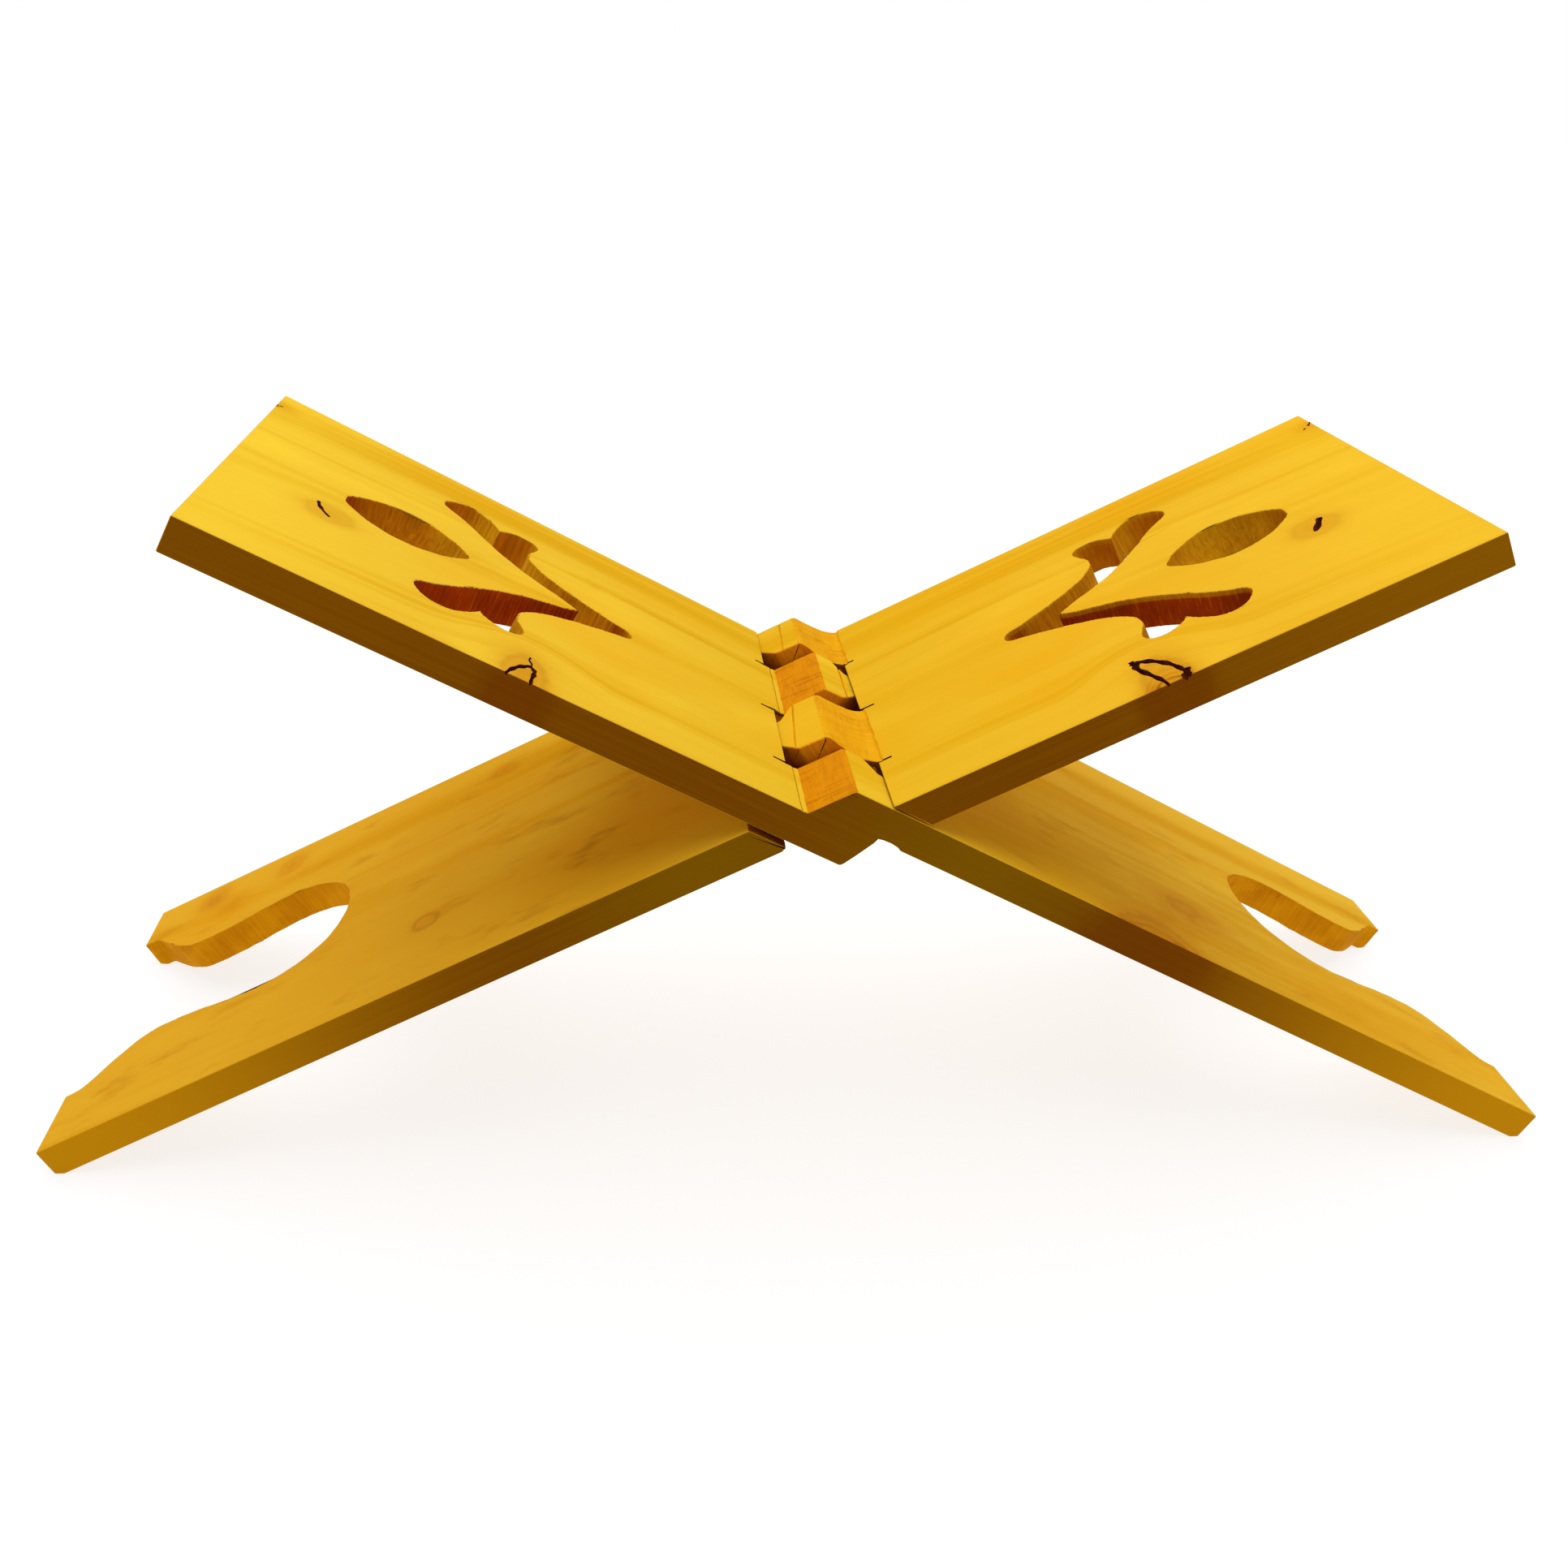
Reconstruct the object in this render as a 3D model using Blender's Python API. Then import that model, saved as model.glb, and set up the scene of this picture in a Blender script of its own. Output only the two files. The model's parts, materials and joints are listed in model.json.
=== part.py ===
"""A folding book stand sawn from one plank: two interlocked halves on a carved, pinless hinge.

Each half is described lying flat in its own plank frame: x runs along the board with the leaf
end negative and the leg end positive, z runs through the thickness with 0 on the sawn parting
plane, and y runs across the board. The hinge axis is the y axis. The left-leaf half is then
turned down to the right about that axis, and the right-leaf half is its opposite number.
"""

import math

import bpy

MM = 0.001

# Driving dimensions, in millimetres until they reach a mesh.
PLANK_WIDTH = 115.0
PLANK_THICKNESS = 20.0
PARTING_KERF = 1.2
LEAF_LENGTH = 170.0
LEG_LENGTH = 230.0
SLOPE = math.radians(27.5)
FOOT_FLAT = 2.5

# Hinge: four zones across the board, owned in turn by the left-leaf and the right-leaf half.
ZONE_LINES = (-33.3, -1.2, 31.3)
SIDE_CLEARANCE = 0.8
RIDGE = 4.0
ROOT = 11.0
SCOOP_END = 16.5
SCOOP_DEPTH = 0.9
STOP_GAP = 0.3
LEG_END_GAP = 1.6

# Slanted relief between neighbouring knuckles, and the saw's overcut beside them.
RELIEF_FLOOR = 1.6
RELIEF_PLAN = ((-8.5, -1.0), (-8.0, 0.3), (-4.0, 5.0), (4.0, 5.5), (9.5, 12.0), (12.0, 13.0), (12.0, -1.0))
OVERCUT_LENGTH = 19.5
OVERCUT_WIDTH = 1.0
OVERCUT_DEPTH = 3.5

# The fretwork is alike on both sides of this line across the board.
FRET_CENTRE = 1.6
BUD = ((-140.8, 0.0), (-140.2, 2.6), (-136.5, 6.2), (-131.0, 9.2), (-124.0, 10.4),
       (-117.5, 9.2), (-111.5, 5.8), (-107.6, 1.9), (-106.7, 0.0))
CALYX_OUTER = ((-58.4, 0.0), (-59.4, 2.2), (-64.0, 3.8), (-70.0, 6.2), (-76.0, 8.9), (-82.0, 12.1),
               (-87.0, 15.9), (-90.3, 20.3), (-91.0, 24.5), (-89.6, 28.6), (-88.5, 32.0),
               (-90.4, 34.7), (-94.5, 35.2), (-98.0, 33.7), (-100.3, 31.3))
CALYX_TIP = ((-100.3, 31.3), (-102.8, 34.6), (-106.3, 37.8), (-110.3, 38.9), (-114.3, 37.5),
             (-117.3, 33.9), (-116.6, 30.6), (-113.3, 28.2))
CALYX_INNER = ((-113.3, 28.2), (-109.5, 25.2), (-104.5, 20.0), (-99.5, 15.2), (-94.5, 11.2),
               (-89.5, 8.0), (-84.0, 5.2), (-79.0, 3.0), (-74.4, 0.0))
ARCH = ((146.9, 0.0), (147.6, 5.5), (150.3, 13.0), (155.5, 18.6), (163.0, 22.6), (172.0, 24.1),
        (181.0, 23.4), (191.0, 21.6), (200.0, 20.9), (207.0, 21.4), (213.0, 24.6), (219.0, 30.0),
        (224.0, 35.2), (227.5, 36.4), (236.0, 36.4))

HALF_T = PLANK_THICKNESS / 2
FACE = PARTING_KERF / 2
HINGE_HEIGHT = (LEG_LENGTH * math.sin(SLOPE) - FACE * math.cos(SLOPE)
                - FOOT_FLAT * math.sin(SLOPE) * math.cos(SLOPE))


def clear_scene():
    for old in list(bpy.data.objects):
        bpy.data.objects.remove(old, do_unlink=True)


def smooth_run(points, steps=5):
    """A Catmull-Rom curve through the points, with its own end tangents."""
    run = []
    last = len(points) - 1
    for i in range(last):
        before = points[max(i - 1, 0)]
        start, end = points[i], points[i + 1]
        after = points[min(i + 2, last)]
        for step in range(steps):
            t = step / steps
            run.append(tuple(
                0.5 * (2 * b + (c - a) * t + (2 * a - 5 * b + 4 * c - d) * t * t
                       + (3 * b - a - 3 * c + d) * t ** 3)
                for a, b, c, d in zip(before, start, end, after)))
    run.append(points[last])
    return run


def mirrored_outline(half_outline):
    """Closes a half outline with its mirror image and moves it to the fret's centre line."""
    far_side = [(x, FRET_CENTRE + y) for x, y in half_outline]
    near_side = [(x, FRET_CENTRE - y) for x, y in reversed(half_outline) if y > 0.05]
    return far_side + near_side


def prism(name, outline, low, high, across):
    """Extrudes a closed outline. Across the board it is an x-z profile, otherwise an x-y plan."""
    count = len(outline)
    if across:
        points = [(u, level, v) for level in (low, high) for u, v in outline]
    else:
        points = [(u, v, level) for level in (low, high) for u, v in outline]
    faces = [tuple(range(count)), tuple(range(2 * count - 1, count - 1, -1))]
    faces += [(i, i + count, (i + 1) % count + count, (i + 1) % count) for i in range(count)]
    mesh = bpy.data.meshes.new(name)
    mesh.from_pydata([tuple(c * MM for c in p) for p in points], [], faces)
    signed = sum(a[0] * b[1] - b[0] * a[1] for a, b in zip(outline, outline[1:] + outline[:1]))
    if (signed > 0) != across:
        mesh.flip_normals()
    obj = bpy.data.objects.new(name, mesh)
    bpy.context.scene.collection.objects.link(obj)
    return obj


def cut(body, cutter):
    """Cuts one shape from a half. The cutter shares the half's parent, place and turn."""
    cutter.hide_render = True
    cutter.display_type = "WIRE"
    cutter.parent = body.parent
    cutter.rotation_euler = body.rotation_euler
    modifier = body.modifiers.new(cutter.name, "BOOLEAN")
    modifier.operation = "DIFFERENCE"
    modifier.solver = "EXACT"
    modifier.object = cutter


def knuckle_outline():
    """The board's whole side view where it owns the zone: leaf, knuckle and leg in one run."""
    flat_x = LEG_LENGTH - FOOT_FLAT * math.cos(SLOPE)
    flat_z = FACE + FOOT_FLAT * math.sin(SLOPE)
    hinge_top = [(-SCOOP_END, -FACE), (-SCOOP_END + 3.0, -FACE - SCOOP_DEPTH), (-ROOT, -FACE - 0.3),
                 (-0.5 * (RIDGE + ROOT) + 0.7, 0.42 * HALF_T), (-RIDGE, HALF_T)]
    hinge_bottom = [(-x, -z) for x, z in hinge_top]
    foot = [(LEG_LENGTH, HALF_T), (LEG_LENGTH, flat_z), (flat_x, FACE)]
    return ([(-LEAF_LENGTH, -FACE)] + hinge_top + foot + hinge_bottom + [(-LEAF_LENGTH, -HALF_T)])


def clearance_outline():
    """What is cut away where the other half owns the zone, down to the two slanted stop faces."""
    fold = 2 * SLOPE
    reach = HALF_T + 2.0

    def end_line(z, gap):
        return (HALF_T + gap + z * math.cos(fold)) / math.sin(fold)

    leaf_side = [(-end_line(-z, STOP_GAP), z) for z in (-reach, reach)]
    leg_side = [(end_line(z, LEG_END_GAP), z) for z in (reach, -reach)]
    return leaf_side + leg_side


def mirror_x(outline, facing):
    return [(facing * x, y) for x, y in outline]


def add_half(name, facing, owns_first_zone, hinge, material):
    """One half. facing is 1 where the leaf is on the left, and -1 where it is on the right."""
    edge = PLANK_WIDTH / 2
    body = prism(name, mirror_x(knuckle_outline(), facing), -edge, edge, across=True)
    body.parent = hinge
    body.rotation_euler = (0, facing * SLOPE, 0)
    body.data.materials.append(material)

    lines = (-edge - 5.0,) + ZONE_LINES + (edge + 5.0,)
    margin = SIDE_CLEARANCE / 2
    for zone in range(4):
        low, high = lines[zone], lines[zone + 1]
        owned = (zone % 2 == 0) == owns_first_zone
        if not owned:
            outline = mirror_x(clearance_outline(), facing)
            cut(body, prism(f"{name}_clearance_{zone}", outline, low - margin, high + margin, True))
        elif zone > 0:
            for side in (1, -1):
                plan = [(facing * side * x, low + y) for x, y in RELIEF_PLAN]
                depths = sorted((side * RELIEF_FLOOR, side * (HALF_T + 1.0)))
                cut(body, prism(f"{name}_relief_{zone}_{side}", plan, *depths, False))
    for number, line in enumerate(ZONE_LINES):
        profile = [(-OVERCUT_LENGTH, 1.0), (-OVERCUT_LENGTH, -FACE - 0.4), (-ROOT, -OVERCUT_DEPTH),
                   (-ROOT, 1.0)]
        low, high = line - OVERCUT_WIDTH / 2, line + OVERCUT_WIDTH / 2
        cut(body, prism(f"{name}_overcut_{number}", mirror_x(profile, facing), low, high, True))

    calyx = smooth_run(CALYX_OUTER)[:-1] + smooth_run(CALYX_TIP)[:-1] + smooth_run(CALYX_INNER)
    for label, outline in (("bud", smooth_run(BUD)), ("calyx", calyx), ("arch", smooth_run(ARCH))):
        plan = mirror_x(mirrored_outline(outline), facing)
        cut(body, prism(f"{name}_{label}", plan, -HALF_T - 1.0, HALF_T + 1.0, False))
    return body


def pine(name, colour):
    material = bpy.data.materials.new(name)
    material.use_nodes = True
    shader = material.node_tree.nodes["Principled BSDF"]
    shader.inputs["Base Color"].default_value = colour
    shader.inputs["Roughness"].default_value = 0.55
    shader.inputs["Metallic"].default_value = 0.0
    return material


def main():
    clear_scene()
    hinge = bpy.data.objects.new("hinge_axis", None)
    hinge.location = (0, 0, HINGE_HEIGHT * MM)
    bpy.context.scene.collection.objects.link(hinge)
    add_half("left_leaf_right_leg", 1, True, hinge, pine("pine_left_leaf", (0.86, 0.50, 0.05, 1)))
    add_half("right_leaf_left_leg", -1, False, hinge, pine("pine_right_leaf", (0.80, 0.44, 0.04, 1)))


main()
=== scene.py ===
"""Looks of a folding book stand sawn from one pine plank, on a pale studio floor.

Each half is modelled lying flat in its own plank frame, in millimetres: x runs along the board
with the leaf end negative and the leg end positive, y runs across the board, and z runs through
the thickness with 0 on the sawn parting plane. The finish is worked out in the same frame, so
the grain and the knots match across the cut as they do in one resawn plank.
"""

import json
import math

import bmesh
import bpy
from mathutils import Matrix, Quaternion, Vector


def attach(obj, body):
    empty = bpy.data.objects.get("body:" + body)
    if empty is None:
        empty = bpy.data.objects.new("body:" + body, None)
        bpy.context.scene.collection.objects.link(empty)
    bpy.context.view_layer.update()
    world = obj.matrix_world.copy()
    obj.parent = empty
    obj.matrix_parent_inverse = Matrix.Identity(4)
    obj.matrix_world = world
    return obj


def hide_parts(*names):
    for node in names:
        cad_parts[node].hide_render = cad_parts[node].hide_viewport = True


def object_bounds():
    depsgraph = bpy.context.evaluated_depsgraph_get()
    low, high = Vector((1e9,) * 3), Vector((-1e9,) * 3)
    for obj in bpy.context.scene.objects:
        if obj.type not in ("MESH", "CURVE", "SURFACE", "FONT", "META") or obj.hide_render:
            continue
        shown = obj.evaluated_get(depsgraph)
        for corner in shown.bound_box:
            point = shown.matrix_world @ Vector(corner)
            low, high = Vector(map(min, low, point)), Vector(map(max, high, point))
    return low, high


bl_info = {
    "name": "Folding Book Stand",
    "version": (1, 0, 0),
    "blender": (4, 5, 0),
    "location": "View3D > Sidebar > Book Stand",
    "description": "Builds the two carved halves of a one-plank book stand and a plain studio",
    "category": "Add Mesh",
}

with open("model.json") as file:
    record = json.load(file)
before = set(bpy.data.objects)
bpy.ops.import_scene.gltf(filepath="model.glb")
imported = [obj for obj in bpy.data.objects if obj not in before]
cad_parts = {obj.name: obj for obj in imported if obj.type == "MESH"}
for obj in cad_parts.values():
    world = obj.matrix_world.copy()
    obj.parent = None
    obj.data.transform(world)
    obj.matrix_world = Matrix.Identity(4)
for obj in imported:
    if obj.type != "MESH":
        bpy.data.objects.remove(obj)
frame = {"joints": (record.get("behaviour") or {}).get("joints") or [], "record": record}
CAD_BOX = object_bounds()

MM = 0.001
HINGE = Vector(frame["joints"][0]["pos_m"])
LEAF_REST = next(mount for mount in frame["record"]["mounts"] if mount["name"] == "left_leaf_rest")
SLOPE = math.asin(LEAF_REST["axis"][0])
PLANK_WIDTH = (CAD_BOX[1].y - CAD_BOX[0].y) / MM

# Sizes that both halves share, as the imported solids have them.
HALF_THICKNESS = 10.0
HALF_KERF = 0.6
LEAF_LENGTH = 170.0
LEG_LENGTH = 230.0
FOOT_FLAT = 2.5
ZONE_LINES = (-33.3, -1.2, 31.3)
SIDE_CLEARANCE = 0.8
LEG_END_GAP = 1.6
RELIEF_FLOOR = 1.6

# The gap at the stop faces and the relief beside a knuckle, as the chisel left them. The relief
# is given by (x, y) from its zone line.
STOP_GAP = 0.5
RELIEF_PLAN = ((-10.5, -1.0), (-10.2, 0.2), (-8.0, 0.9), (-4.0, 5.0), (4.0, 5.5), (9.5, 12.0),
               (12.0, 13.0), (12.0, -1.0))

# How far a cut runs past the surface it opens, and past the plank's long edges.
OVERRUN = 1.0
PAST_EDGE = 5.0

# How finely the board is divided before it is cut, so that the unevenness can show, and how
# much a chiselled face gives in height for its unevenness in length.
STATIONS_ACROSS = 76
STATION_SPACING = 13.0
CHISEL_SLANT = 0.6

# The carved step between the leaf's inner face and the leg's outer face: (x, z, how rough).
LEFT_STEP = ((-11.5, -0.6, 0.2), (-11.2, -0.95, 0.2), (-10.9, -0.6, 0.2), (-9.9, -0.6, 0.5),
             (-8.7, 1.1, 1.0), (-5.6, 5.6, 1.0), (-3.3, 8.8, 0.9), (-2.7, 9.6, 0.7), (-1.8, 10.0, 0.5))
RIGHT_STEP = ((-14.9, -0.6, 0.8), (-14.2, -0.95, 0.8), (-13.1, -0.55, 0.8), (-11.9, 0.15, 0.8),
              (-10.4, 1.5, 0.8), (-8.2, 4.3, 0.8), (-6.2, 7.1, 0.7), (-5.1, 8.8, 0.6),
              (-4.4, 9.6, 0.5), (-3.4, 10.0, 0.4))
UNDER_STEP = ((16.5, 0.6, 0.4), (15.2, 1.15, 0.5), (13.2, 1.4, 0.5), (10.9, 1.3, 0.5), (9.5, 1.0, 0.4),
              (9.2, -0.4, 0.5), (7.0, -5.6, 0.8), (5.4, -9.1, 0.6), (4.9, -9.7, 0.5), (4.1, -10.0, 0.4))

# Where the chiselled finish begins on each half's step, and the heights that bound it.
LEFT_CARVED_FROM = -9.9
RIGHT_CARVED_FROM = -14.9
OVER_LEAF = -1.5
UNDER_LEG = 1.6

# From here to the leaf's end, the inner face is plain in the other half's zones.
PLAIN_LEAF = -13.0

# Corner chips on the far side of a knuckle, beside the other half's leaf.
CHIP_PLAN = ((2.9, 1.0), (3.0, -0.3), (7.2, -6.6), (13.0, -7.6), (13.0, 1.0))

# Saw cuts that ran on past the zone lines: they thin out from the root to the tip.
OVERCUT_LENGTH = 17.2
OVERCUT_WIDTH = 0.8
OVERCUT_TIP_DEPTH = 0.5
OVERCUT_ROOT = (-12.0, -3.0)

# Marking lines on the knuckles' outer faces: zone, then x at its near and far ends. The knife
# leaned, so a line is wider on the leg's side.
SCRIBES = {1: (5.6, 2.9), 2: (5.5, 5.7), 3: (1.9, 0.6)}
SCRIBE_WIDTHS = (0.3, 0.45)

# The fretwork, as half outlines on one side of its centre line. Towards a leaf's outer face the
# saw leaned by a share of the depth, from where it still stood plumb.
FRET_CENTRE = 1.6
FRET_LEVELS = (0.0, 3.4, 7.1, HALF_THICKNESS + OVERRUN)
FRET_LEAN = {"bud": 0.45, "calyx": 0.12, "arch": 0.0}
FRET_PLUMB = -2.6
BUD = ((-140.8, 0.0), (-140.2, 2.6), (-136.5, 6.2), (-131.0, 9.2), (-124.0, 10.4),
       (-117.5, 9.2), (-111.5, 5.8), (-107.6, 1.9), (-106.7, 0.0))
CALYX_OUTER = ((-58.4, 0.0), (-59.4, 2.2), (-64.0, 3.8), (-70.0, 6.2), (-76.0, 8.9), (-82.0, 12.1),
               (-87.0, 15.9), (-90.3, 20.3), (-91.0, 24.5), (-89.6, 28.6), (-88.5, 32.0),
               (-90.4, 34.7), (-94.5, 35.2), (-98.0, 33.7), (-100.3, 31.3))
CALYX_TIP = ((-100.3, 31.3), (-102.8, 34.6), (-106.3, 37.8), (-110.3, 38.9), (-114.3, 37.5),
             (-117.3, 33.9), (-116.6, 30.6), (-113.3, 28.2))
CALYX_INNER = ((-113.3, 28.2), (-109.5, 25.2), (-104.5, 20.0), (-99.5, 15.2), (-94.5, 11.2),
               (-89.5, 8.0), (-84.0, 5.2), (-79.0, 3.0), (-74.4, 0.0))
ARCH = ((146.9, 0.0), (147.6, 5.5), (150.3, 13.0), (155.5, 18.6), (163.0, 22.6), (172.0, 24.1),
        (181.0, 23.4), (191.0, 21.6), (200.0, 20.9), (207.0, 21.4), (213.0, 24.6), (219.0, 30.0),
        (224.0, 35.2), (227.5, 36.4), (236.0, 36.4))

# Drying checks in the leaves' inner faces: (width, depth, points along the check).
LEFT_CHECKS = (
    (1.6, 1.2, ((-91.2, -58.5), (-90.5, -56.0), (-89.0, -52.6), (-87.0, -49.8), (-85.5, -48.6),
                (-84.6, -49.4), (-84.3, -51.5), (-84.7, -54.5), (-84.9, -58.5))),
    (0.8, 0.7, ((-85.6, -48.7), (-85.2, -47.0), (-86.0, -45.0), (-85.7, -43.2))),
    (1.4, 1.0, ((-146.2, -9.4), (-145.7, -11.6), (-144.3, -14.1), (-142.0, -16.6))),
    (0.8, 0.6, ((-170.4, 46.4), (-169.2, 45.9), (-168.2, 46.6))),
    (0.7, 0.6, ((-170.4, 45.3), (-169.0, 44.4))),
)
RIGHT_CHECKS = (
    (2.0, 1.3, ((-91.0, -58.5), (-90.6, -54.5), (-89.6, -50.4), (-87.6, -46.2), (-85.0, -43.0),
                (-82.8, -41.7), (-81.9, -42.8), (-82.1, -45.4), (-83.5, -49.8), (-84.9, -54.3),
                (-85.6, -58.5))),
    (2.6, 1.3, ((-91.6, -53.6), (-90.9, -55.6), (-90.0, -57.3), (-89.4, -58.5))),
    (2.2, 1.2, ((-83.4, -42.6), (-82.2, -41.9), (-81.8, -40.9), (-81.7, -39.9))),
    (2.2, 1.2, ((-145.2, -10.6), (-143.9, -13.1), (-141.3, -17.0))),
    (0.9, 0.7, ((-170.4, 49.2), (-169.0, 47.9), (-168.4, 46.8))),
    (0.7, 0.6, ((-167.2, 46.3), (-166.3, 45.4))),
)

# Knots: (x, y, half length, half width, side of the parting plane or 0 for both, halo, rim).
KNOTS = (
    (-86.5, -56.0, 5.6, 12.0, 0, 1.0, 0.30), (-86.0, -57.5, 3.4, 2.2, 1, 0.9, 0.9),
    (-142.5, -14.0, 6.0, 5.5, 0, 0.8, 0.15), (-169.0, 46.5, 4.0, 3.5, 0, 0.6, 0.0),
    (-70.0, 26.0, 1.8, 1.2, -1, 0.5, 0.0), (98.0, 44.0, 4.0, 3.4, -1, 0.9, 0.15),
    (177.0, 47.0, 4.6, 5.0, -1, 0.9, 0.1), (207.0, 48.5, 5.0, 5.0, -1, 1.0, 0.1),
    (197.0, 38.0, 4.0, 4.0, -1, 0.8, 0.0), (116.0, -29.0, 4.0, 3.4, -1, 0.7, 0.45),
    (77.0, -25.0, 2.0, 1.6, -1, 0.5, 0.1), (52.0, -12.0, 2.0, 1.4, -1, 0.5, 0.0),
    (114.0, -29.0, 12.0, 6.5, 1, 1.0, 0.0), (66.0, -24.0, 2.4, 1.8, 1, 0.5, 0.0),
    (94.0, -50.0, 14.0, 8.0, 1, 0.9, 0.0), (90.0, -57.5, 9.0, 3.0, 1, 0.8, 0.25),
)

# The plank's darkest growth bands: (place across the board, half width, strength).
GROWTH_BANDS = ((41.0, 5.5, 0.70), (22.0, 1.6, 0.40), (3.0, 2.5, 0.22))

# Tints of the planed faces, beside the colours in the settings. Some of them are painted light and shade,
# as marked.
PALE_CLOUD = (0.88, 0.60, 0.040)
LEAF_END_PALE = (0.92, 0.64, 0.034)
HONEY = (0.74, 0.335, 0.002)
# Painted shade: the planed faces are made darker and more olive about the hinge.
HINGE_PAINTED_SHADE = (0.60, 0.385, 0.010)
# Painted light: the left half's leg is made paler near the hinge, where it lies in the other leaf's shade.
LEG_PAINTED_LIGHT = (0.94, 0.56, 0.004)
SMUDGE = (0.42, 0.16, 0.002)
TANNED_LEG = (0.58, 0.25, 0.010)
KNOT_HALO = (0.55, 0.19, 0.002)

# Tints of the long edges, over their painted shade, and of the cut ends.
EDGE_STREAK = (0.16, 0.046, 0.0005)
FOOT_EDGE = (0.66, 0.29, 0.003)
HINGE_EDGE = (0.235, 0.118, 0.0003)
EDGE_PALE_AT_LEAF_END = (0.40, 0.165, 0.001)
KNOT_EDGE = (0.17, 0.036, 0.0005)
TORN_FIBRE = (0.06, 0.008, 0.0005)
END_RING = (0.50, 0.17, 0.002)

# Tints of the sawn walls and the carved faces, as the two ends of their mottling where paired. Several are
# painted light and shade, as marked.
# The golden tint is also the painted light on sawn walls that face upwards.
GOLDEN_WALL = ((0.44, 0.175, 0.002), (0.66, 0.33, 0.005))
BROWN_WALL = ((0.60, 0.215, 0.001), (0.86, 0.38, 0.003))
# Painted light: the stop walls are paler than the planed faces, to lift the shade of the recess they stand
# in. Below them, painted shade deep in the recess by the parting plane and on the leg's side past the
# relief.
STOP_WALL = ((0.78, 0.26, 0.005), (0.95, 0.42, 0.012))
DEEP_STOP_PAINTED_SHADE = (0.24, 0.040, 0.001)
LEG_STOP_PAINTED_SHADE = (0.10, 0.012, 0.001)
# Painted light and shade: the left half's carved faces are darker and the right half's lighter, by which
# way they face the light.
LEFT_CARVED = ((0.64, 0.235, 0.001), (0.42, 0.125, 0.0005))
RIGHT_CARVED = ((0.70, 0.34, 0.004), (0.55, 0.20, 0.001))
# Painted shade: carved faces turned sideways are darker.
CARVED_SIDE_PAINTED_SHADE = (0.36, 0.085, 0.005)

# Specular level of the oiled and the bare wood.
OILED_SPECULAR = 0.005
BARE_SPECULAR = 0.02

# Where the camera stands, what it looks at, and how far its frame is rolled and shifted.
CAMERA_PLACE = Vector((-0.0538, -0.3599, 0.2779))
CAMERA_TARGET = Vector((-0.0196, 0.0, 0.1080))
CAMERA_ROLL = math.radians(2.37)
CAMERA_SHIFT = (0.0235, -0.0436)

# Where the broad light shines from, towards the floor's middle.
KEY_PLACE = Vector((-0.02, 0.30, 1.0))

WOOD, SAWN, CARVED, KERF = range(4)


class PineSettings(bpy.types.PropertyGroup):
    sapwood: bpy.props.FloatVectorProperty(
        name="Sapwood", description="Colour of the planed faces between the growth rings",
        subtype="COLOR", size=3, min=0, max=1, default=(0.745, 0.465, 0.027))
    latewood: bpy.props.FloatVectorProperty(
        name="Latewood", description="Colour of the darker growth bands",
        subtype="COLOR", size=3, min=0, max=1, default=(0.62, 0.315, 0.002))
    # Painted shade: the long edges are given this dark colour for the shade on the plank's sides, which the
    # overhead light misses.
    edge: bpy.props.FloatVectorProperty(
        name="Edge", description="Colour of the plank's two long edges, where the oil sank in",
        subtype="COLOR", size=3, min=0, max=1, default=(0.215, 0.070, 0.0003))
    end_grain: bpy.props.FloatVectorProperty(
        name="End grain", description="Colour of the cut ends",
        subtype="COLOR", size=3, min=0, max=1, default=(0.66, 0.245, 0.003))
    sawn: bpy.props.FloatVectorProperty(
        name="Sawn wall", description="Colour of the fretwork's sawn inner walls",
        subtype="COLOR", size=3, min=0, max=1, default=(0.235, 0.029, 0.0012))
    knot: bpy.props.FloatVectorProperty(
        name="Knot", description="Colour of the knots' rims",
        subtype="COLOR", size=3, min=0, max=1, default=(0.30, 0.090, 0.004))
    kerf: bpy.props.FloatVectorProperty(
        name="Kerf", description="Colour deep in the saw kerfs and drying checks",
        subtype="COLOR", size=3, min=0, max=1, default=(0.048, 0.006, 0.001))
    roughness: bpy.props.FloatProperty(
        name="Roughness", description="How dull the oiled wood is", subtype="FACTOR",
        min=0, max=1, default=0.52)


class CarvingSettings(bpy.types.PropertyGroup):
    edge_round: bpy.props.FloatProperty(
        name="Edge rounding", description="Width of the worn rounding along every edge",
        unit="LENGTH", min=0, max=0.002, default=0.00045)
    saw_wander: bpy.props.FloatProperty(
        name="Saw wander", description="How far the fret saw strays from its line",
        unit="LENGTH", min=0, max=0.001, default=0.00016)
    chisel_marks: bpy.props.FloatProperty(
        name="Chisel marks", description="Height of the unevenness left on the carved hinge",
        unit="LENGTH", min=0, max=0.001, default=0.00030)
    scribe_depth: bpy.props.FloatProperty(
        name="Scribe depth", description="Depth of the marking lines across the knuckles",
        unit="LENGTH", min=0, max=0.002, default=0.0004)


class StudioSettings(bpy.types.PropertyGroup):
    floor_colour: bpy.props.FloatVectorProperty(
        name="Floor", description="Colour of the floor and the backdrop",
        subtype="COLOR", size=3, min=0, max=1, default=(0.20, 0.20, 0.20))
    floor_glow: bpy.props.FloatProperty(
        name="Floor glow", description="How brightly the floor shines by itself, which thins shadows",
        min=0, max=5, default=0.8)
    key_strength: bpy.props.FloatProperty(
        name="Key light", description="Strength of the broad light overhead",
        min=0, max=20, default=3.0)
    sky_strength: bpy.props.FloatProperty(
        name="Sky", description="Strength of the even light from all round",
        min=0, max=5, default=0.36)
    lens: bpy.props.FloatProperty(
        name="Lens", description="Focal length of the camera in millimetres",
        unit="CAMERA", min=10, max=200, default=32.61)


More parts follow.
